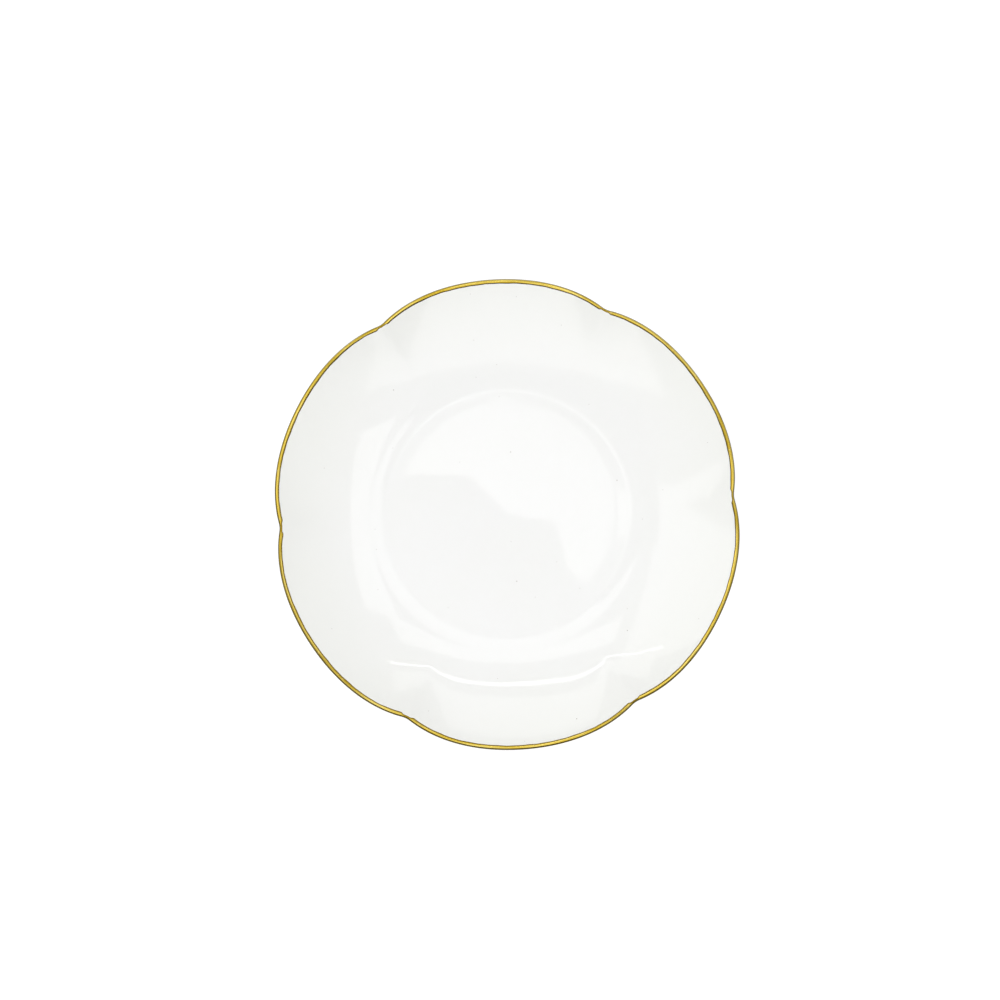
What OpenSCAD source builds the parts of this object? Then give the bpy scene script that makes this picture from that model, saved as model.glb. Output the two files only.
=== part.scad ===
// China dinner plate with a lobed rim and a gilded lip.
// Six separate pieces: the fired porcelain body and its foot ring, three coats of glaze and a gold band.
// Millimetres. The plate stands on z = 0 about the Z axis, and one notch of the rim is on +X.

/* [Plate] */

// Width across two opposite lobes, over the gold
plate_d = 267; // [240:1:300]
// Height from the table to the top of the lip
plate_h = 25; // [22:0.5:30]
// Radius of the flat floor of the well
well_r = 71; // [66:1:74]
// Steepness of the rim where it reaches the lip, in degrees
rim_slope = 27; // [24:1:30]

/* [Lobes] */

// Number of lobes round the rim
lobes = 6; // [5:1:8]
// How far each notch cuts in from the circle round the lobes, before its bottom is rounded
notch_depth = 4.8; // [2:0.1:6]
// How late each lobe turns in towards its notches
lobe_power = 3.5; // [2.5:0.1:5]
// Share of a half lobe that is taken by the rounded bottom of the notch
notch_share = 0.037; // [0.02:0.001:0.08]
// Radius at which the ridges that run in from the notches die out
crease_r = 95; // [85:1:105]
// How sharp those ridges are there; at the lip they are as sharp as the notches
crease_power = 8; // [5:0.5:10]

/* [Clay] */

// Thickness of the clay under the well
floor_t = 3.2; // [2.8:0.1:4]
// Thickness of the clay at the lip, whose edge is a half round
lip_t = 2.2; // [1.8:0.1:2.8]

/* [Foot ring] */

// Height of the foot ring
foot_h = 2.6; // [2.2:0.1:3.2]
// Radius of the middle of the edge that bears on the table
foot_r = 74; // [70:0.5:75]
// Width of the edge that bears on the table
land_w = 1.8; // [1.2:0.1:2.4]
// Radius of the fillet on each side of the ring
fillet_r = 2.1; // [1.5:0.1:2.2]

/* [Glaze and gold] */

// Thickness of each coat of glaze
glaze_t = 0.2; // [0.15:0.01:0.3]
// Height of the bare, wiped edge of the foot ring
bare_h = 0.4; // [0.3:0.05:0.6]
// Thickness of the gold band
gold_t = 0.1; // [0.08:0.01:0.15]
// How far the gold runs beyond the rounded lip, on each side
gold_reach = 0.8; // [0.2:0.1:1.5]

/* [Hidden] */

CLAY = "#f3efe6";
GLAZE = "#fbfbf7";
GOLD = "#d4a437";

$fn = 180;

// how finely the swept pieces are cut
HALF_LOBE_STEPS = 9; // from a notch to the middle of a lobe
NOTCH_CROWDING = 1.7; // above 1, the cuts are closer together near a notch
CURVE_STEPS = 8; // along the face or the back, from the well to the lip
LIP_STEPS = 3; // round each half of the lip
FILLET_STEPS = 4; // round the fillet of the foot ring

floor_z = foot_h + floor_t; // clay floor of the well
lip_r = lip_t / 2;
lip_mid = [plate_d / 2 - lip_r - glaze_t - gold_t, plate_h - lip_r - glaze_t - gold_t];
along_rim = polar(1, rim_slope);

// the foot ring, and the underside that stays flat a little way beyond it
land_half = land_w / 2;
foot_half = land_half + fillet_r;
fillet_z = foot_h - fillet_r;
under_r = foot_r + foot_half + 0.5;

// how the two long curves leave the flat and reach the lip, as lengths of their control arms
WELL_ARM = 8;
UNDER_ARM = 4;
RIM_ARM = 0.6; // as a share of the rim, measured down its slope from the lip to the level of the flat

// ---- the lobed outline ----

half_lobe = 180 / lobes;
TURNS = [
    for (lobe = [0 : lobes - 1], i = [0 : 2 * HALF_LOBE_STEPS - 1])
        2 * half_lobe * lobe + turn_in_lobe(i)
];

function crowded(i) = half_lobe * pow(i / HALF_LOBE_STEPS, NOTCH_CROWDING);
function turn_in_lobe(i) =
    i <= HALF_LOBE_STEPS ? crowded(i) : 2 * half_lobe - crowded(2 * HALF_LOBE_STEPS - i);

// 0 at the middle of a lobe, 1 at a notch
function towards_notch(turn) =
    let (from_notch = turn - 2 * half_lobe * floor(turn / (2 * half_lobe)))
    abs(from_notch / half_lobe - 1);

// how far the lip would be drawn in: a power curve, joined smoothly to the parabola of the notch
notch_start = 1 - notch_share;
function draw_in(turn, power) =
    let (
        u = towards_notch(turn),
        curve = power * pow(notch_start, power - 1) / (2 * notch_share),
        bottom = pow(notch_start, power) + curve * notch_share * notch_share
    )
    notch_depth * (u < notch_start ? pow(u, power) : bottom - curve * (1 - u) * (1 - u));

// a point of the section put at a turn: the lobes start smoothly where the ridges die out
function placed(p, turn) =
    let (
        x = min(1, max(0, (p[0] - crease_r) / (lip_mid[0] - crease_r))),
        share = 1 - pow(1 - x * x, 2),
        r = p[0] - share * draw_in(turn, crease_power + (lobe_power - crease_power) * x)
    )
    [r * cos(turn), r * sin(turn), p[1]];

// ---- the curves of the section, as [radius, height] ----

function mix4(a, b, c, d, t) =
    pow(1 - t, 3) * a + 3 * t * pow(1 - t, 2) * b + 3 * t * t * (1 - t) * c + pow(t, 3) * d;
function slope4(a, b, c, d, t) = pow(1 - t, 2) * (b - a) + 2 * t * (1 - t) * (c - b) + t * t * (d - c);
function unit(v) = v / norm(v);
function left_of(v) = [-v[1], v[0]];
function polar(r, angle) = r * [cos(angle), sin(angle)];
function backwards(list) = [for (i = [len(list) - 1 : -1 : 0]) list[i]];

// a curve from a flat start to the slope of the rim, moved sideways by lift
function rim_curve(start, arm, end, lift) =
    let (
        b = start + [arm, 0],
        c = end - along_rim * RIM_ARM * (end[1] - start[1]) / sin(rim_slope)
    ) [
        for (i = [0 : CURVE_STEPS])
            let (t = i / CURVE_STEPS)
            mix4(start, b, c, end, t) + lift * left_of(unit(slope4(start, b, c, end, t)))
    ];

// the rounded lip at a given radius about its middle, between two directions measured from the slope
function lip_arc(r, from, to, steps) =
    [for (i = [0 : steps]) lip_mid + polar(r, rim_slope + from + (to - from) * i / steps)];

face_end = lip_mid + lip_r * left_of(along_rim) - gold_reach * along_rim;
back_end = lip_mid - lip_r * left_of(along_rim) - gold_reach * along_rim;

// face and back of the plate at a height above the clay, from the flat to the start of the gold
function face(lift) = rim_curve([well_r, floor_z], WELL_ARM, face_end, lift);
function back(lift) = rim_curve([under_r, foot_h], UNDER_ARM, back_end, -lift);

// outer side of the foot ring under a coat, from its bare edge up round the fillet;
// opened out a little, so that its straight facets stay clear of the round ring
widest_step = half_lobe - crowded(HALF_LOBE_STEPS - 1);
function ring_side(coat) = [
    for (p = concat(
        [[land_half + coat, bare_h]],
        [for (i = [0 : FILLET_STEPS])
            [foot_half, fillet_z] + polar(fillet_r - coat, 180 - 90 * i / FILLET_STEPS)]
    ))
    [(foot_r + p[0]) / cos(widest_step / 2), p[1]]
];

// ---- turning a section into a solid ----

function two_triangles(a, b, c, d) = [[a, b, c], [a, c, d]];

// the section is a closed loop away from the axis, clockwise with radius to the right
module lobed_ring(section) {
    n = len(section);
    m = len(TURNS);
    polyhedron(
        points = [for (turn = TURNS) for (p = section) placed(p, turn)],
        faces = [
            for (j = [0 : m - 1])
                let (this = j * n, next = ((j + 1) % m) * n)
                for (i = [0 : n - 1])
                    let (k = (i + 1) % n)
                    each two_triangles(this + i, next + i, next + k, this + k)
        ]
    );
}

// the section runs from the top flat round the lip to the bottom flat, and each flat is closed by a fan
module lobed_dish(section) {
    n = len(section);
    m = len(TURNS);
    polyhedron(
        points = concat(
            [[0, 0, section[0][1]], [0, 0, section[n - 1][1]]],
            [for (turn = TURNS) for (p = section) placed(p, turn)]
        ),
        faces = [
            for (j = [0 : m - 1])
                let (this = 2 + j * n, next = 2 + ((j + 1) % m) * n)
                each concat(
                    [[0, next, this], [1, this + n - 1, next + n - 1]],
                    [
                        for (i = [0 : n - 2])
                            each two_triangles(this + i, next + i, next + i + 1, this + i + 1)
                    ]
                )
        ]
    );
}

// ---- the foot ring, drawn about the middle of its edge ----

// the hollow outside the ring, drawn smaller by a coat
module hollow(coat) {
    translate([foot_half, fillet_z]) circle(fillet_r - coat);
    translate([land_half + coat, 0]) square([fillet_r - coat, fillet_z]);
}

// the coat of glaze on the inner side of the ring, above its bare edge
module inner_ring_coat() {
    mirror([1, 0]) intersection() {
        difference() {
            hollow(0);
            hollow(glaze_t);
        }
        translate([land_half, bare_h]) square([fillet_r, foot_h - bare_h]);
    }
}

// ---- the pieces ----

// the fired clay: floor, shoulder and lobed rim, with a half-round lip
module porcelain_body() {
    color(CLAY) lobed_dish(concat(face(0), lip_arc(lip_r, 90, -90, 2 * LIP_STEPS), backwards(back(0))));
}

// the ring under the well that carries the plate on its bare edge
module foot_ring() {
    color(CLAY) rotate_extrude() translate([foot_r, 0]) difference() {
        translate([-foot_half, 0]) square([2 * foot_half, foot_h]);
        hollow(0);
        mirror([1, 0]) hollow(0);
    }
}

// the coat over the whole face, to the middle of the lip
module face_glaze() {
    color(GLAZE) lobed_dish(concat(
        face(glaze_t), lip_arc(lip_r + glaze_t, 90, 0, LIP_STEPS),
        lip_arc(lip_r, 0, 90, LIP_STEPS), backwards(face(0))
    ));
}

// the coat under the rim, from the middle of the lip down the outside of the foot ring
module back_glaze() {
    color(GLAZE) lobed_ring(concat(
        ring_side(0), back(0), lip_arc(lip_r, -90, 0, LIP_STEPS),
        lip_arc(lip_r + glaze_t, 0, -90, LIP_STEPS), backwards(back(glaze_t)), backwards(ring_side(glaze_t))
    ));
}

// the coat inside the foot ring
module base_glaze() {
    color(GLAZE) rotate_extrude() {
        translate([0, foot_h - glaze_t]) square([foot_r - foot_half, glaze_t]);
        translate([foot_r, 0]) inner_ring_coat();
    }
}

// the gold over the glaze, round the lip
module gold_band() {
    inner = lip_r + glaze_t;
    outer = inner + gold_t;
    function band(r) = concat(
        [lip_mid + r * left_of(along_rim) - gold_reach * along_rim],
        lip_arc(r, 90, -90, 2 * LIP_STEPS),
        [lip_mid - r * left_of(along_rim) - gold_reach * along_rim]
    );
    color(GOLD) lobed_ring(concat(band(outer), backwards(band(inner))));
}

porcelain_body();
foot_ring();
face_glaze();
back_glaze();
base_glaze();
gold_band();
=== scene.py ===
import math

import bpy
import numpy as np
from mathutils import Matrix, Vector


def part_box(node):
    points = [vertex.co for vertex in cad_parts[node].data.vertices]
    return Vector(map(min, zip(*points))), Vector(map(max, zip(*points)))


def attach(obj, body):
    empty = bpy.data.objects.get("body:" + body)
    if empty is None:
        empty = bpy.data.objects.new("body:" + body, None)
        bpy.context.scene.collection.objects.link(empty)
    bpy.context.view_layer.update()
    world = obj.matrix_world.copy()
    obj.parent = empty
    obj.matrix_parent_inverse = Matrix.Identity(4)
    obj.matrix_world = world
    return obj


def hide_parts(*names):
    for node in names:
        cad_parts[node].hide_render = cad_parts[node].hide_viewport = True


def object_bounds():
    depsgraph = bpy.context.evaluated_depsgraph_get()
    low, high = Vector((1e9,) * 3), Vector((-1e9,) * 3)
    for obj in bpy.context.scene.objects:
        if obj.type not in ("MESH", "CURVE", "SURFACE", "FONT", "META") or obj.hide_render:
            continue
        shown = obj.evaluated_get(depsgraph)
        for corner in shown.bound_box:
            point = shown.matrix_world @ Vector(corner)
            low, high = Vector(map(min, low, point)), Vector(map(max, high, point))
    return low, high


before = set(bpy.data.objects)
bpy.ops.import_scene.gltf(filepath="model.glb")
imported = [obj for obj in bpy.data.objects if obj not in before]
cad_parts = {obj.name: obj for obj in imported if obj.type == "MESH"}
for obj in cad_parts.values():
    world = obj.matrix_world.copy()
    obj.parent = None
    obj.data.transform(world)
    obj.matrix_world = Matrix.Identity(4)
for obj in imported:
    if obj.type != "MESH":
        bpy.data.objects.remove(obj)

MM = 0.001
MICRON = 0.001 * MM

# ---- sizes, in metres: read from the CAD nodes where a box shows one ----

cad_low, cad_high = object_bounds()
body_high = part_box("porcelain_body")[1]
face_low, face_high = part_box("face_glaze")
gold_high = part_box("gold_band")[1]
foot_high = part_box("foot_ring")[1]
base_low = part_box("base_glaze")[0]

PLATE_R = gold_high.y
FOOT_H = foot_high.z
FLOOR_Z = face_low.z
GLAZE_T = face_high.z - body_high.z
GOLD_T = gold_high.z - face_high.z
BARE_H = base_low.z

# the rest of the design, which no box shows
LOBES = 6
HALF_LOBE = math.pi / LOBES
NOTCH_DEPTH = 4.8 * MM
LOBE_POWER = 3.5
NOTCH_SHARE = 0.037
CREASE_R = 95 * MM
CREASE_POWER = 8
WELL_R = 71 * MM
WELL_ARM = 8 * MM
UNDER_ARM = 4 * MM
RIM_ARM = 0.6
RIM_SLOPE = math.radians(27)
LIP_R = 1.1 * MM
LIP_MID = np.array([PLATE_R, gold_high.z]) - LIP_R - GLAZE_T - GOLD_T
LAND_HALF = 0.9 * MM
FILLET_R = 2.1 * MM
FOOT_HALF = LAND_HALF + FILLET_R
FOOT_R = foot_high.x - FOOT_HALF
UNDER_R = foot_high.x + 0.5 * MM
GOLD_REACH = 0.8 * MM

# what the kiln adds: how far the middle of the well sinks, inside a radius, and how far the lip warps
SAG = 0.3 * MM
SAG_R = 61 * MM
WARP = 0.15 * MM
WARP_PHASE = 0.7

# what the hand adds: the worn corners of the foot, and the bead at which the glaze stops above it
LAND_EDGE_R = 0.15 * MM
BEAD = 0.05 * MM
BEAD_POWER = 4

# the brushed gold: it grows from a share of its thickness, over GOLD_EDGE, and shows brown over
# GOLD_BROWN_AND_SHADE_WIDTH, partly as thin gold and partly as painted shade for the dark lines that the lip
# reflects;
# its edges waver by GOLD_WAVER, in sines with so many waves round the rim
GOLD_EDGE = 0.35 * MM
GOLD_EDGE_SHARE = 0.15
GOLD_BROWN_AND_SHADE_WIDTH = 0.9 * MM
GOLD_WAVER = 0.12 * MM
FACE_WAVES = [5, 11, 17, 31, 53, 97]
BACK_WAVES = [4, 9, 19, 37, 61, 89]

# how far the gold is wiped back at each notch, over how much of the rim, and how abruptly
NOTCH_WIPE = 1.0 * MM
NOTCH_WIPE_W = 3.4 * MM
NOTCH_WIPE_POWER = 6

# how finely the pieces are cut; a crowding above 1 puts the cuts closer together near a notch
HALF_LOBE_STEPS = 44
CROWDING = 1.35
CURVE_STEPS = 56
FLOOR_STEPS = 14
LIP_STEPS = 8
FILLET_STEPS = 10
BEAD_STEPS = 4
LAND_EDGE_STEPS = 4
GOLD_STEPS = 28
GOLD_TURNS = 1440
SHARP_ANGLE = math.radians(50)

rng = np.random.default_rng(6)


# ---- the lobed outline ----

def turns_round_the_rim():
    """Angles of the cuts, closer together towards each notch."""
    half = [HALF_LOBE * (i / HALF_LOBE_STEPS) ** CROWDING for i in range(HALF_LOBE_STEPS + 1)]
    lobe = half + [2 * HALF_LOBE - a for a in reversed(half[1:-1])]
    return np.array([2 * HALF_LOBE * k + a for k in range(LOBES) for a in lobe])


TURNS = turns_round_the_rim()


def draw_in(turns, power):
    """How far the lip would be drawn in: a power curve across each lobe, with a parabola at the notch."""
    u = np.abs(np.mod(turns, 2 * HALF_LOBE) / HALF_LOBE - 1)
    start = 1 - NOTCH_SHARE
    curve = power * start ** (power - 1) / (2 * NOTCH_SHARE)
    bottom = start ** power + curve * NOTCH_SHARE ** 2
    return NOTCH_DEPTH * np.where(u < start, u ** power, bottom - curve * (1 - u) ** 2)


def lobed(r, turns):
    """A radius drawn in by the lobes, which start smoothly where the ridges die out and grow to the lip."""
    x = np.clip((r - CREASE_R) / (LIP_MID[0] - CREASE_R), 0, 1)
    share = 1 - (1 - x * x) ** 2
    return r - share * draw_in(turns, CREASE_POWER + (LOBE_POWER - CREASE_POWER) * x)


def kiln(r, turns):
    """Height lost in the firing: a shallow dish in the well and a soft warp of the rim."""
    inner = np.clip(1 - (r / SAG_R) ** 2, 0, None)
    outer = np.clip((r - UNDER_R) / (PLATE_R - UNDER_R), 0, 1) ** 2
    return SAG * inner + WARP * outer * (0.5 + 0.5 * np.cos(2 * turns + WARP_PHASE))


def placed(sections, turns):
    """Points of a section, given once for each turn as [radius, height], put round the plate."""
    r, z = sections[..., 0], sections[..., 1]
    turns = turns[:, None]
    reach = lobed(r, turns)
    return np.stack([reach * np.cos(turns), reach * np.sin(turns), z - kiln(r, turns)], axis=-1)


# ---- the curves of the section, as [radius, height] ----

def left_of(v):
    return np.stack([-v[..., 1], v[..., 0]], axis=-1)


def polar(r, angle):
    angle = np.asarray(angle)
    return np.stack([r * np.cos(angle), r * np.sin(angle)], axis=-1)


def arc(middle, r, first, last, steps):
    """Part of a circle, between two directions in degrees."""
    return np.asarray(middle) + polar(r, np.radians(np.linspace(first, last, steps + 1)))


ALONG_RIM = polar(1, RIM_SLOPE)


def rim_curve(start, arm, end, lift):
    """From a flat start to the slope of the rim, moved sideways by lift."""
    a = np.array(start)
    b = a + [arm, 0]
    d = np.array(end)
    c = d - ALONG_RIM * RIM_ARM * (d[1] - a[1]) / math.sin(RIM_SLOPE)
    t = np.linspace(0, 1, CURVE_STEPS + 1)[:, None]
    points = (1 - t) ** 3 * a + 3 * t * (1 - t) ** 2 * b + 3 * t ** 2 * (1 - t) * c + t ** 3 * d
    along = (1 - t) ** 2 * (b - a) + 2 * t * (1 - t) * (c - b) + t ** 2 * (d - c)
    along /= np.linalg.norm(along, axis=1, keepdims=True)
    return points + lift * left_of(along)


def lip_arc(r, first, last, steps=LIP_STEPS):
    """The rounded lip, between two directions in degrees from the slope of the rim."""
    slope = math.degrees(RIM_SLOPE)
    return arc(LIP_MID, r, slope + first, slope + last, steps)


def flat(z, out_to, steps=FLOOR_STEPS):
    """Points of a flat from near the axis, without its outer end."""
    return np.array([[r, z] for r in np.linspace(0, out_to, steps + 1)[1:-1]])


FACE_END = LIP_MID + LIP_R * left_of(ALONG_RIM) - GOLD_REACH * ALONG_RIM
BACK_END = LIP_MID - LIP_R * left_of(ALONG_RIM) - GOLD_REACH * ALONG_RIM


def face(lift):
    return np.vstack([flat(FLOOR_Z + lift, WELL_R), rim_curve([WELL_R, FLOOR_Z], WELL_ARM, FACE_END, lift)])


def back(lift):
    return rim_curve([UNDER_R, FOOT_H], UNDER_ARM, BACK_END, -lift)


def ring_side():
    """One side of the foot ring, as distances from its middle: from the bare edge up round the fillet."""
    bottom = [[LAND_HALF, BARE_H]]
    return np.vstack([bottom, arc([FOOT_HALF, FOOT_H - FILLET_R], FILLET_R, 180, 90, FILLET_STEPS)])


def ring_coat():
    """The glaze on that side, above its bare edge: a rounded bead, which thins out to the even coat."""
    bead_h = FOOT_H - FILLET_R - BARE_H
    swell = polar(1, np.radians(np.linspace(-90, 0, BEAD_STEPS + 1)[1:]))
    bead = swell * [GLAZE_T + BEAD, bead_h] + [LAND_HALF, BARE_H + bead_h]
    turn = np.linspace(1, 0, FILLET_STEPS + 1)[1:]
    r = FILLET_R - GLAZE_T - BEAD * turn ** BEAD_POWER
    angle = np.radians(90 + 90 * turn)
    return np.vstack([bead, np.array([FOOT_HALF, FOOT_H - FILLET_R]) + polar(r, angle)])


def outside_ring(side):
    return side + [FOOT_R, 0]


def inside_ring(side):
    return side * [-1, 1] + [FOOT_R, 0]


# ---- turning sections into smooth meshes ----

def make_object(name, node, points, faces):
    """A smooth mesh that rides on the plate and stands for a CAD node."""
    mesh = bpy.data.meshes.new(name)
    mesh.from_pydata(points.tolist(), [], faces)
    mesh.validate()
    mesh.polygons.foreach_set("use_smooth", [True] * len(mesh.polygons))
    mesh.set_sharp_from_angle(angle=SHARP_ANGLE)
    piece = bpy.data.objects.new(name, mesh)
    bpy.context.scene.collection.objects.link(piece)
    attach(piece, "root")
    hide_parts(node)
    return piece


def quads(m, n, first=0, closed=False):
    """Faces between m neighbouring sections of n points each, right round the plate."""
    found = []
    for j in range(m):
        this, ahead = first + j * n, first + ((j + 1) % m) * n
        for i in range(n if closed else n - 1):
            k = (i + 1) % n
            found.append((this + i, this + k, ahead + k, ahead + i))
    return found


def swept_ring(name, node, sections, turns=TURNS):
    """A closed loop away from the axis, clockwise with radius to the right, as one section or one a turn."""
    m, n = len(turns), sections.shape[-2]
    points = placed(np.broadcast_to(sections, (m, n, 2)), turns).reshape(-1, 3)
    return make_object(name, node, points, quads(m, n, closed=True))


def swept_dish(name, node, section):
    """A section from near the axis on top, round its outer end, to near the axis below; fans close both."""
    m, n = len(TURNS), len(section)
    rings = placed(np.broadcast_to(section, (m, n, 2)), TURNS).reshape(-1, 3)
    centres = np.array([[0, 0, section[0][1] - SAG], [0, 0, section[-1][1] - SAG]])
    faces = quads(m, n, first=2)
    for j in range(m):
        this, ahead = 2 + j * n, 2 + ((j + 1) % m) * n
        faces.append((0, this, ahead))
        faces.append((1, ahead + n - 1, this + n - 1))
    return make_object(name, node, np.vstack([centres, rings]), faces)


# ---- the pieces ----

def make_body():
    return swept_dish("porcelain_body_fine", "porcelain_body", np.vstack([
        face(0), lip_arc(LIP_R, 90, -90, 2 * LIP_STEPS), back(0)[::-1], flat(FOOT_H, UNDER_R)[::-1]]))


def make_foot_ring():
    """The ring, with the corners of its bearing edge worn round."""
    side = np.vstack([
        arc([LAND_HALF - LAND_EDGE_R, LAND_EDGE_R], LAND_EDGE_R, -90, 0, LAND_EDGE_STEPS), ring_side()])
    return swept_ring("foot_ring_fine", "foot_ring", np.vstack([
        outside_ring(side)[::-1], inside_ring(side)]))


def make_face_glaze():
    return swept_dish("face_glaze_fine", "face_glaze", np.vstack([
        face(GLAZE_T), lip_arc(LIP_R + GLAZE_T, 90, 0), lip_arc(LIP_R, 0, 90), face(0)[::-1]]))


def make_back_glaze():
    return swept_ring("back_glaze_fine", "back_glaze", np.vstack([
        outside_ring(ring_side()), back(0), lip_arc(LIP_R, -90, 0),
        lip_arc(LIP_R + GLAZE_T, 0, -90), back(GLAZE_T)[::-1], outside_ring(ring_coat())[::-1]]))


def make_base_glaze():
    inner_r = FOOT_R - FOOT_HALF
    return swept_dish("base_glaze_fine", "base_glaze", np.vstack([
        flat(FOOT_H, inner_r), inside_ring(ring_side())[::-1],
        inside_ring(ring_coat()), flat(FOOT_H - GLAZE_T, inner_r)[::-1]]))


def waver(turns, size, waves):
    """A slow, irregular wandering round the rim: sines of seeded phase, each with its number of waves."""
    phases = rng.uniform(0, 2 * math.pi, len(waves))
    total = sum(np.sin(k * turns + phase) / math.sqrt(len(waves)) for k, phase in zip(waves, phases))
    return size * total


def round_the_lip(q, r):
    """The point at a distance q from where the rounding of the lip starts on the face, at radius r."""
    q = np.asarray(q)[..., None]
    r = np.asarray(r)[..., None]
    half_round = math.pi * (LIP_R + GLAZE_T)
    angle = RIM_SLOPE + math.pi / 2 - np.clip(q, 0, half_round) / (LIP_R + GLAZE_T)
    beyond = np.minimum(q, 0) - np.maximum(q - half_round, 0)
    return LIP_MID + np.concatenate([r * np.cos(angle), r * np.sin(angle)], axis=-1) + beyond * ALONG_RIM


def out_and_back(values):
    """Values across the band, for its outer side and then for its inner side in reverse."""
    return np.concatenate([values, values[:, ::-1]], axis=1)


def make_gold_band():
    """The gold laid on by brush: its edges waver and thin out, and the brush runs short in each notch."""
    turns = np.linspace(0, 2 * math.pi, GOLD_TURNS, endpoint=False)
    from_notch = PLATE_R * np.abs(np.mod(turns + HALF_LOBE, 2 * HALF_LOBE) - HALF_LOBE)
    wipe = NOTCH_WIPE * np.exp(-(from_notch / NOTCH_WIPE_W) ** NOTCH_WIPE_POWER)
    half_round = math.pi * (LIP_R + GLAZE_T)
    start = wipe - GOLD_REACH + waver(turns, GOLD_WAVER, FACE_WAVES)
    end = half_round + GOLD_REACH + waver(turns, GOLD_WAVER, BACK_WAVES)
    share = np.linspace(0, 1, GOLD_STEPS + 1)
    q = start[:, None] + (end - start)[:, None] * share
    to_edge = np.minimum(q - start[:, None], end[:, None] - q)
    grown = np.clip(to_edge / GOLD_EDGE, 0, 1) ** 0.5
    thickness = GOLD_T * (GOLD_EDGE_SHARE + (1 - GOLD_EDGE_SHARE) * grown)
    under = np.full(q.shape, LIP_R + GLAZE_T)
    sections = np.concatenate([
        round_the_lip(q, under + thickness), round_the_lip(q, under)[:, ::-1]], axis=1)
    band = swept_ring("gold_band_fine", "gold_band", sections, turns)
    store_brush(band, turns, q, np.clip(to_edge / GOLD_BROWN_AND_SHADE_WIDTH, 0, 1))
    return band


def store_brush(band, turns, q, inward):
    """Keep, at each point, its place along and across the rim, and how far in it is from an edge, 0 to 1."""
    along = PLATE_R * polar(1, turns)[:, None, :]
    across = out_and_back(q)[..., None]
    brush = np.concatenate([np.broadcast_to(along, (*across.shape[:2], 2)), across], axis=-1)
    attribute = band.data.attributes.new("brush", "FLOAT_VECTOR", "POINT")
    attribute.data.foreach_set("vector", brush.astype(np.float32).ravel())
    attribute = band.data.attributes.new("edge", "FLOAT", "POINT")
    attribute.data.foreach_set("value", out_and_back(inward).astype(np.float32).ravel())


# ---- node trees, for the room and for the finishes ----

class Nodes:
    """A node tree, with short calls for what the room and the finishes share."""

    def __init__(self, tree):
        self.tree = tree

    def node(self, kind, inputs=(), **settings):
        """A new node with its settings, and its inputs as (name or number, value or socket)."""
        made = self.tree.nodes.new("ShaderNode" + kind)
        for key, value in settings.items():
            setattr(made, key, value)
        for key, value in inputs:
            self.set(made, key, value)
        return made

    def set(self, node, key, value):
        if isinstance(value, bpy.types.NodeSocket):
            self.tree.links.new(value, node.inputs[key])
        else:
            node.inputs[key].default_value = value

    def maths(self, operation, a, b=0.0):
        return self.node("Math", [(0, a), (1, b)], operation=operation).outputs[0]

    def add(self, *values):
        total = values[0]
        for value in values[1:]:
            total = self.maths("ADD", total, value)
        return total

    def times(self, a, b):
        return self.maths("MULTIPLY", a, b)

    def ramp(self, value, low, high, to_low=0.0, to_high=1.0):
        """A value eased from one range into another, and held at its ends."""
        made = self.node("MapRange", [("Value", value)], interpolation_type="SMOOTHSTEP")
        for key, number in (("From Min", low), ("From Max", high), ("To Min", to_low), ("To Max", to_high)):
            self.set(made, key, number)
        return made.outputs["Result"]

    def turned(self, vector, angle):
        made = self.node("VectorRotate", [("Vector", vector), ("Angle", angle)], rotation_type="Z_AXIS")
        return made.outputs[0]

    def axes(self, vector):
        return self.node("SeparateXYZ", [(0, vector)]).outputs


# noise lies mostly between these two values
NOISE_LOW = 0.3
NOISE_HIGH = 0.7

# share of a speck's radius at which it has its full colour
SPECK_CORE = 0.4

# the sockets for colours of a Mix node
MIX_A = 6
MIX_B = 7
MIX_RESULT = 2


class Finish(Nodes):
    """A material in object coordinates, in metres."""

    def __init__(self, name, **sockets):
        self.material = bpy.data.materials.new(name)
        self.material.use_nodes = True
        super().__init__(self.material.node_tree)
        self.shader = self.tree.nodes["Principled BSDF"]
        for socket, value in sockets.items():
            self.set(self.shader, socket.replace("_", " "), value)
        self.place = self.node("TexCoord").outputs["Object"]

    def stretched(self, sizes, turn=0.0, where=None):
        """Coordinates turned about Z, then counted in steps of a size for each axis."""
        scale = tuple(1 / size for size in sizes)
        turned = self.turned(where or self.place, turn)
        return self.node("VectorMath", [(0, turned), (1, scale)], operation="MULTIPLY").outputs[0]

    def noise(self, size, detail=2.0, roughness=0.5, where=None):
        """Noise of a feature size in metres, or in steps of already counted coordinates."""
        made = self.node("TexNoise", [
            ("Vector", where or self.place), ("Scale", 1 / size),
            ("Detail", detail), ("Roughness", roughness)])
        return made.outputs["Fac"]

    def mix(self, share, a, b):
        return self.node("Mix", [(0, share), (MIX_A, a), (MIX_B, b)], data_type="RGBA").outputs[MIX_RESULT]

    def specks(self, spacing, radius, share):
        """Scattered round spots: one for each cell of a jittered grid, of which only a share is kept."""
        cells = self.node(
            "TexVoronoi", [("Vector", self.place), ("Scale", 1 / spacing)], voronoi_dimensions="2D").outputs
        chance = self.node("SeparateColor", [(0, cells["Color"])]).outputs[0]
        kept = self.maths("LESS_THAN", chance, share)
        spot = self.ramp(cells["Distance"], radius / spacing, SPECK_CORE * radius / spacing)
        return self.times(kept, spot)

    def radius(self):
        """Distance from the axis of the plate."""
        x, y, _ = self.axes(self.place)
        return self.maths("SQRT", self.add(self.times(x, x), self.times(y, y)))

    def bump(self, *heights):
        """Relief from heights in metres."""
        made = self.node("Bump", [("Strength", 1.0), ("Distance", 1.0), ("Height", self.add(*heights))])
        self.set(self.shader, "Normal", made.outputs["Normal"])


def colour(r, g, b):
    return (r, g, b, 1)


def grey(level):
    return colour(level, level, level)


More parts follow.
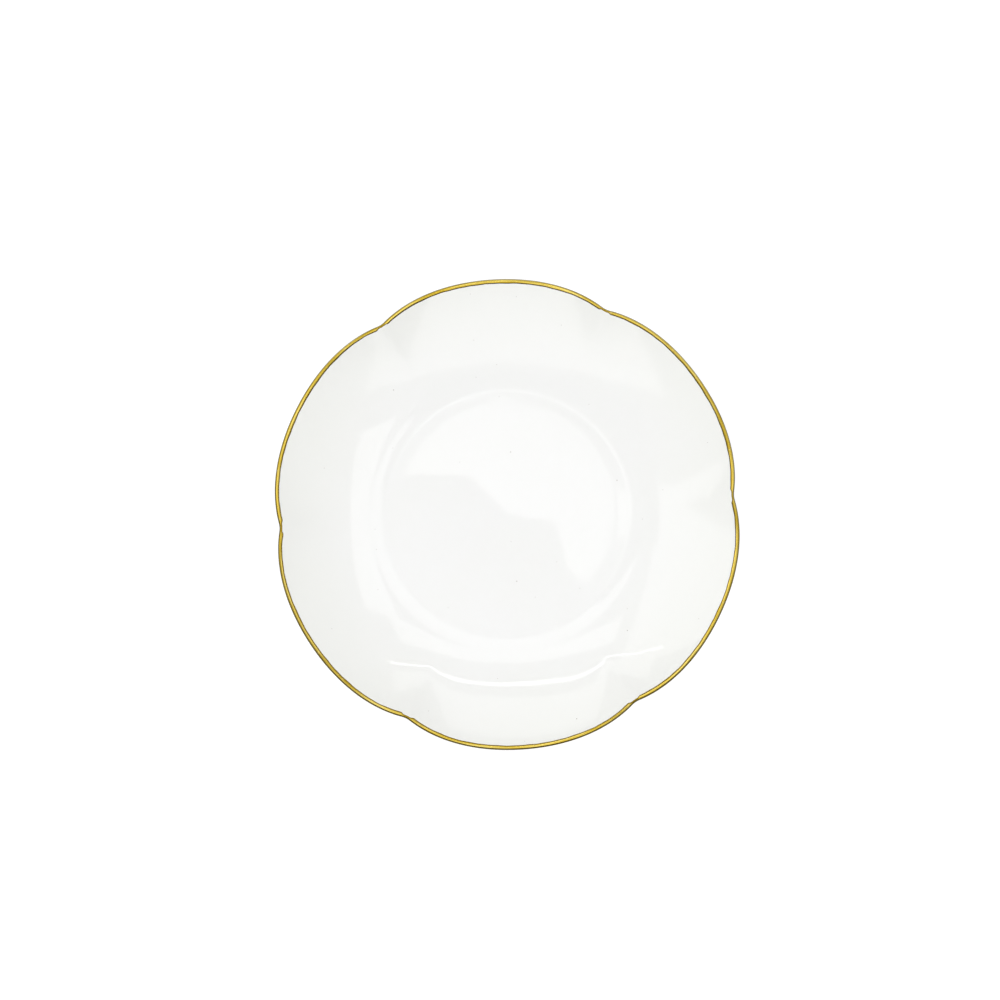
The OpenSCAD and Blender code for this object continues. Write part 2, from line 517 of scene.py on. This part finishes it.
# the colours of the glaze, of the clay under it and at the foot, and of the gold
GLAZE_WHITE = colour(0.864, 0.866, 0.860)
GLAZE_CREAM = colour(0.852, 0.858, 0.828)
GLAZE_MOTTLE = colour(0.83, 0.832, 0.81)
IRON_SPECK = colour(0.16, 0.11, 0.07)
BISCUIT_PALE = colour(0.86, 0.83, 0.77)
BISCUIT_DARK = colour(0.78, 0.74, 0.67)
BARE_PALE = colour(0.82, 0.79, 0.72)
BARE_DARK = colour(0.70, 0.66, 0.58)
CLAY_RUB = colour(0.42, 0.40, 0.37)
CLAY_PIT = colour(0.3, 0.26, 0.2)
GOLD_DEEP = colour(0.42, 0.285, 0.015)
GOLD_RICH = colour(0.70, 0.51, 0.07)
GOLD_BRIGHT = colour(0.92, 0.76, 0.24)
GOLD_RUBBED = colour(0.88, 0.74, 0.34)
# the brown of thin gold, which also serves as painted shade for the dark reflections along the lip
GOLD_THIN_AND_SHADE_BROWN = colour(0.24, 0.145, 0.004)

# directions of the cutlery marks, and their length and width
MARK_TURNS = (0.3, 1.2, 2.4)
MARK_SIZE = (22 * MM, 0.35 * MM, 1)

# sizes of the lines that the brush leaves in the gold, two along the rim and one across it
HAIR_SIZE = (14 * MM, 14 * MM, 0.16 * MM)
STROKE_SIZE = (30 * MM, 30 * MM, 0.7 * MM)


def cutlery_marks(finish):
    """Fine, faint strokes in the well, in a few directions, where knives have been."""
    marks = 0.0
    for turn in MARK_TURNS:
        wander = finish.node("TexNoise", [("Vector", finish.place), ("Scale", 1 / (60 * MM))])
        bent = finish.node("VectorMath", [
            (0, finish.place),
            (1, wander.outputs["Color"]),
            (2, (6 * MM, 6 * MM, 0))], operation="MULTIPLY_ADD").outputs[0]
        strokes = finish.noise(1, detail=1, where=finish.stretched(MARK_SIZE, turn, bent))
        marks = finish.maths("MAXIMUM", marks, finish.ramp(strokes, 0.70, 0.80))
    patches = finish.ramp(finish.noise(35 * MM, detail=1), 0.45, 0.65)
    well = finish.ramp(finish.radius(), WELL_R, 0.6 * WELL_R)
    return finish.times(marks, finish.times(patches, well))


def china_glaze(name, used_for_food):
    """Clear, glossy glaze on white bone china: a touch creamier on the rim, with a few specks under it."""
    glaze = Finish(name, IOR=1.5)
    clouds = glaze.noise(55 * MM, detail=3)
    rim = glaze.ramp(glaze.radius(), WELL_R, PLATE_R)
    cream = glaze.add(glaze.times(rim, 0.8), glaze.ramp(clouds, NOISE_LOW, NOISE_HIGH, to_high=0.25))
    white = glaze.mix(cream, GLAZE_WHITE, GLAZE_CREAM)
    mottle = glaze.ramp(glaze.noise(4 * MM, detail=4, roughness=0.6), NOISE_LOW, NOISE_HIGH)
    white = glaze.mix(glaze.times(mottle, 0.12), white, GLAZE_MOTTLE)
    large = glaze.specks(spacing=31 * MM, radius=0.42 * MM, share=0.16)
    small = glaze.specks(spacing=13 * MM, radius=0.25 * MM, share=0.10)
    specks = glaze.maths("MAXIMUM", large, small)
    glaze.set(glaze.shader, "Base Color", glaze.mix(glaze.times(specks, 0.55), white, IRON_SPECK))
    marks = cutlery_marks(glaze) if used_for_food else glaze.times(glaze.ramp(mottle, 0.7, 1.0), 0.3)
    gloss = glaze.ramp(glaze.noise(18 * MM, detail=3), NOISE_LOW, NOISE_HIGH, to_low=0.008, to_high=0.03)
    glaze.set(glaze.shader, "Roughness", glaze.add(gloss, glaze.times(marks, 0.10)))
    undulation = glaze.times(glaze.noise(26 * MM, detail=1), 45 * MICRON)
    orange_peel = glaze.times(glaze.noise(3.2 * MM, detail=1), 2.4 * MICRON)
    ripple = glaze.maths("SINE", glaze.times(glaze.radius(), 2 * math.pi / (7 * MM)))
    rings = glaze.times(ripple, 0.5 * MICRON)
    pits = glaze.times(specks, -6 * MICRON)
    scores = glaze.times(marks, -0.4 * MICRON)
    glaze.bump(undulation, orange_peel, rings, pits, scores)
    return glaze.material


def fired_clay(name, pale, dark, handled):
    """Unglazed bone china: matt and fine grained, with tiny pits, and grey rubs where it has been handled."""
    clay = Finish(name)
    grain = clay.noise(0.25 * MM, detail=4, roughness=0.7)
    clouds = clay.noise(9 * MM, detail=3)
    tone = clay.mix(clay.ramp(grain, NOISE_LOW, NOISE_HIGH), dark, pale)
    rubs = clay.times(clay.ramp(clouds, 0.5, 0.75), handled)
    tone = clay.mix(rubs, tone, CLAY_RUB)
    pits = clay.specks(spacing=0.9 * MM, radius=0.09 * MM, share=0.3)
    clay.set(clay.shader, "Base Color", clay.mix(clay.times(pits, 0.5), tone, CLAY_PIT))
    matt = clay.ramp(clouds, NOISE_LOW, NOISE_HIGH, to_low=0.72, to_high=0.86)
    clay.set(clay.shader, "Roughness", clay.add(matt, clay.times(rubs, -0.3)))
    clay.bump(clay.times(grain, 18 * MICRON), clay.times(pits, -40 * MICRON), clay.times(clouds, 60 * MICRON))
    return clay.material


def fired_gold():
    """Burnished gold laid on by brush: lines along the rim, rubbed spots, and brown where it thins out
    towards both edges of the band, which is also painted shade for the dark reflections along the rounded
    lip.
    """
    gold = Finish("burnished_gold", Metallic=1.0)
    brush = gold.node("Attribute", attribute_name="brush").outputs["Vector"]
    edge = gold.node("Attribute", attribute_name="edge").outputs["Fac"]
    hairs = gold.noise(1, detail=3, where=gold.stretched(HAIR_SIZE, 0.0, brush))
    strokes = gold.noise(1, detail=2, where=gold.stretched(STROKE_SIZE, 0.0, brush))
    mottle = gold.noise(2.4 * MM, detail=3)
    tone = gold.mix(gold.ramp(hairs, 0.32, 0.68), GOLD_DEEP, GOLD_RICH)
    tone = gold.mix(gold.times(gold.ramp(strokes, 0.4, 0.65), 0.6), tone, GOLD_BRIGHT)
    rubbed = gold.times(gold.ramp(mottle, 0.62, 0.74), 0.5)
    tone = gold.mix(rubbed, tone, GOLD_RUBBED)
    # painted shade: the band is browned towards both of its edges, partly as thin gold and partly for the
    # dark reflections along the rounded lip
    ragged_edge = gold.add(edge, gold.times(gold.maths("SUBTRACT", strokes, 0.5), 0.5))
    thin = gold.ramp(ragged_edge, 0.95, 0.45, to_high=0.92)
    gold.set(gold.shader, "Base Color", gold.mix(thin, tone, GOLD_THIN_AND_SHADE_BROWN))
    dull = gold.add(
        gold.ramp(strokes, NOISE_LOW, NOISE_HIGH, to_low=0.05, to_high=0.11),
        gold.ramp(hairs, NOISE_LOW, NOISE_HIGH, to_high=0.04))
    gold.set(gold.shader, "Roughness", gold.add(dull, gold.times(rubbed, 0.2)))
    gold.bump(gold.times(hairs, 3 * MICRON), gold.times(strokes, 10 * MICRON), gold.times(mottle, 8 * MICRON))
    return gold.material


def put_on(piece, material):
    piece.data.materials.clear()
    piece.data.materials.append(material)


put_on(make_body(), fired_clay("biscuit_clay", BISCUIT_PALE, BISCUIT_DARK, handled=0.1))
put_on(make_foot_ring(), fired_clay("bare_wiped_edge", BARE_PALE, BARE_DARK, handled=0.4))
put_on(make_face_glaze(), china_glaze("glaze_on_the_face", used_for_food=True))
put_on(make_back_glaze(), china_glaze("glaze_on_the_back", used_for_food=False))
put_on(make_base_glaze(), china_glaze("glaze_on_the_base", used_for_food=False))
put_on(make_gold_band(), fired_gold())

# ---- the camera, and the directions that the studio is laid out in ----

# the camera stands in front of the plate, a little to its left, and looks down from almost straight above
CAMERA_TURN = math.radians(-4)
CAMERA_RISE = math.radians(87)
CAMERA_AWAY = 0.55
LENS_MM = 35.05
SENSOR_MM = 36
SHIFT = (-0.00696, 0.01149)


def make_camera():
    data = bpy.data.cameras.new("camera")
    data.lens = LENS_MM
    data.sensor_width = SENSOR_MM
    data.shift_x, data.shift_y = SHIFT
    camera = bpy.data.objects.new("camera", data)
    bpy.context.scene.collection.objects.link(camera)
    towards_camera = Vector((
        math.sin(CAMERA_TURN) * math.cos(CAMERA_RISE),
        -math.cos(CAMERA_TURN) * math.cos(CAMERA_RISE),
        math.sin(CAMERA_RISE)))
    camera.location = Vector((0, 0, cad_high.z)) + towards_camera * CAMERA_AWAY
    camera.rotation_mode = "QUATERNION"
    camera.rotation_quaternion = (-towards_camera).to_track_quat("-Z", "Y")
    bpy.context.scene.camera = camera


# ---- the floor, the lamps and the room: right of and behind the plate as the camera sees it ----

# height of the lamps, and the round one over the plate
LAMP_HEIGHT = 1.0
DISC_R = 0.168
DISC_BACK = 0.06

# the card under the round lamp: how far under it, its outline to the right and behind, and its two greys
CARD_GAP = 0.015
CARD_OUTLINE = [
    (-0.25, -0.15), (0.12, -0.15), (0.12, -0.065), (0.083, -0.027),
    (0.066, 0.04), (0, 0.05), (-0.055, 0.105), (-0.25, 0.105)]
CARD_GREYS = (0.80, 0.86)

# the floor: its size, its two greys as the plate sees them, and its glow to the camera
FLOOR_SIZE = 8
FLOOR_GREYS = (0.20, 0.24)
FLOOR_GLOW = 0.85

# the room: the weight of the back beside the height, where the light grows between them, and its two levels
ROOM_LEAN = 0.7
ROOM_HORIZON = 0.25
ROOM_OVERHEAD = 0.65
ROOM_DARK = 0.12
ROOM_BRIGHT = 0.78


def in_studio(right, back, height):
    cos, sin = math.cos(CAMERA_TURN), math.sin(CAMERA_TURN)
    return Vector((right * cos - back * sin, right * sin + back * cos, height))


def make_lamp(name, place, shape, width, depth, brightness, aim=None):
    """A soft lamp, hidden from the camera, which faces down or is aimed at a point."""
    data = bpy.data.lights.new(name, "AREA")
    data.shape = shape
    data.size = width
    data.size_y = depth
    area = width * depth if shape == "RECTANGLE" else math.pi * width * width / 4
    data.energy = brightness * math.pi * area
    lamp = bpy.data.objects.new(name, data)
    bpy.context.scene.collection.objects.link(lamp)
    lamp.location = place
    lamp.rotation_euler = (0, 0, CAMERA_TURN)
    if aim is not None:
        lamp.rotation_euler = (aim - place).to_track_quat("-Z", "Y").to_euler()
    lamp.visible_camera = False


def make_box(name, left, right, near, far, brightness):
    """A soft box at the lamps' height, between two places to the right and two places behind."""
    middle = in_studio((left + right) / 2, (near + far) / 2, LAMP_HEIGHT)
    make_lamp(name, middle, "RECTANGLE", right - left, far - near, brightness)


def make_wall(name, azimuth, rise, away, width, depth, brightness):
    """A soft box aimed at the plate, from a direction round it and up, in degrees; no gloss shows it."""
    rise = math.radians(rise)
    azimuth = math.radians(azimuth)
    reach = away * math.cos(rise)
    place = in_studio(reach * math.cos(azimuth), reach * math.sin(azimuth), away * math.sin(rise))
    make_lamp(name, place, "RECTANGLE", width, depth, brightness, aim=Vector((0, 0, cad_high.z)))
    bpy.data.objects[name].visible_glossy = False


def make_card():
    """A pale card that covers part of the round lamp, so that the plate shows the rest as a comma."""
    corners = [in_studio(right, back, LAMP_HEIGHT - CARD_GAP) for right, back in CARD_OUTLINE]
    mesh = bpy.data.meshes.new("card")
    mesh.from_pydata(corners, [], [range(len(corners))])
    card = bpy.data.objects.new("card", mesh)
    bpy.context.scene.collection.objects.link(card)
    card.visible_camera = False
    felt = Finish("pale_felt", Roughness=0.9)
    darker, paler = [grey(level) for level in CARD_GREYS]
    felt.set(felt.shader, "Base Color", felt.mix(felt.noise(3 * MM, detail=3), darker, paler))
    put_on(card, felt.material)


def make_floor():
    """A pale floor: it glows to the camera, lets the lamps' light through and is clear from below."""
    bpy.ops.mesh.primitive_plane_add(size=FLOOR_SIZE)
    floor = bpy.context.object
    floor.name = "floor"
    paper = Finish("pale_paper", Roughness=0.8)
    fibre = paper.noise(1.5 * MM, detail=4, roughness=0.7)
    darker, paler = [grey(level) for level in FLOOR_GREYS]
    paper.set(paper.shader, "Base Color", paper.mix(fibre, darker, paler))
    paper.set(paper.shader, "Emission Color", grey(1))
    path = paper.node("LightPath").outputs
    paper.set(paper.shader, "Emission Strength", paper.times(path["Is Camera Ray"], FLOOR_GLOW))
    side = paper.node("NewGeometry").outputs["Backfacing"]
    clear = paper.node("BsdfTransparent").outputs[0]
    through = paper.maths("MAXIMUM", side, path["Is Shadow Ray"])
    shown = paper.node("MixShader", [(0, through), (1, paper.shader.outputs[0]), (2, clear)])
    paper.set(paper.tree.nodes["Material Output"], "Surface", shown.outputs[0])
    put_on(floor, paper.material)


def make_room():
    """The room: bright overhead and behind and dark at eye level for the plate, plain white to the camera."""
    world = bpy.data.worlds.new("room")
    bpy.context.scene.world = world
    world.use_nodes = True
    room = Nodes(world.node_tree)
    towards = room.node("TexCoord").outputs["Generated"]
    _, back, up = room.axes(room.turned(towards, -CAMERA_TURN))
    leaning = room.add(up, room.times(back, ROOM_LEAN))
    glow = room.ramp(leaning, ROOM_HORIZON, ROOM_OVERHEAD, ROOM_DARK, ROOM_BRIGHT)
    seen_by_plate = room.node("Background", [("Color", glow)]).outputs[0]
    seen_by_camera = room.node("Background", [("Color", grey(1))]).outputs[0]
    camera_ray = room.node("LightPath").outputs["Is Camera Ray"]
    shown = room.node("MixShader", [(0, camera_ray), (1, seen_by_plate), (2, seen_by_camera)])
    room.set(room.tree.nodes["World Output"], "Surface", shown.outputs[0])


make_camera()
make_floor()
make_room()
make_card()

# the lamps whose reflections show in the glaze: a comma in the well, a thin line and bands on the shoulder
make_lamp("disc_over", in_studio(0, DISC_BACK, LAMP_HEIGHT), "DISK", 2 * DISC_R, 2 * DISC_R, brightness=1.0)
make_box("tube_behind", left=-0.36, right=0.25, near=0.380, far=0.394, brightness=4.0)
make_box("strip_right", left=0.175, right=0.275, near=-0.10, far=0.24, brightness=1.25)
make_box("strip_behind", left=-0.20, right=0.20, near=0.23, far=0.30, brightness=1.15)
make_box("box_left", left=-0.75, right=-0.24, near=0.0, far=0.45, brightness=0.95)
make_box("box_near", left=-0.35, right=0.30, near=-0.75, far=-0.20, brightness=0.85)
make_box("box_behind", left=-0.35, right=0.25, near=0.44, far=0.70, brightness=0.9)

# the lamps that only fill: two over the near side, and two under the floor for the underside of the plate
make_wall("wall_near_left", azimuth=225, rise=45, away=3.0, width=3.0, depth=2.0, brightness=1.3)
make_wall("wall_near", azimuth=285, rise=45, away=3.0, width=3.0, depth=2.0, brightness=1.5)
make_wall("below_left", azimuth=150, rise=-50, away=1.5, width=1.6, depth=1.2, brightness=4.0)
make_wall("below_right", azimuth=310, rise=-40, away=1.5, width=1.2, depth=0.9, brightness=2.6)

bpy.context.scene.view_settings.view_transform = "Standard"
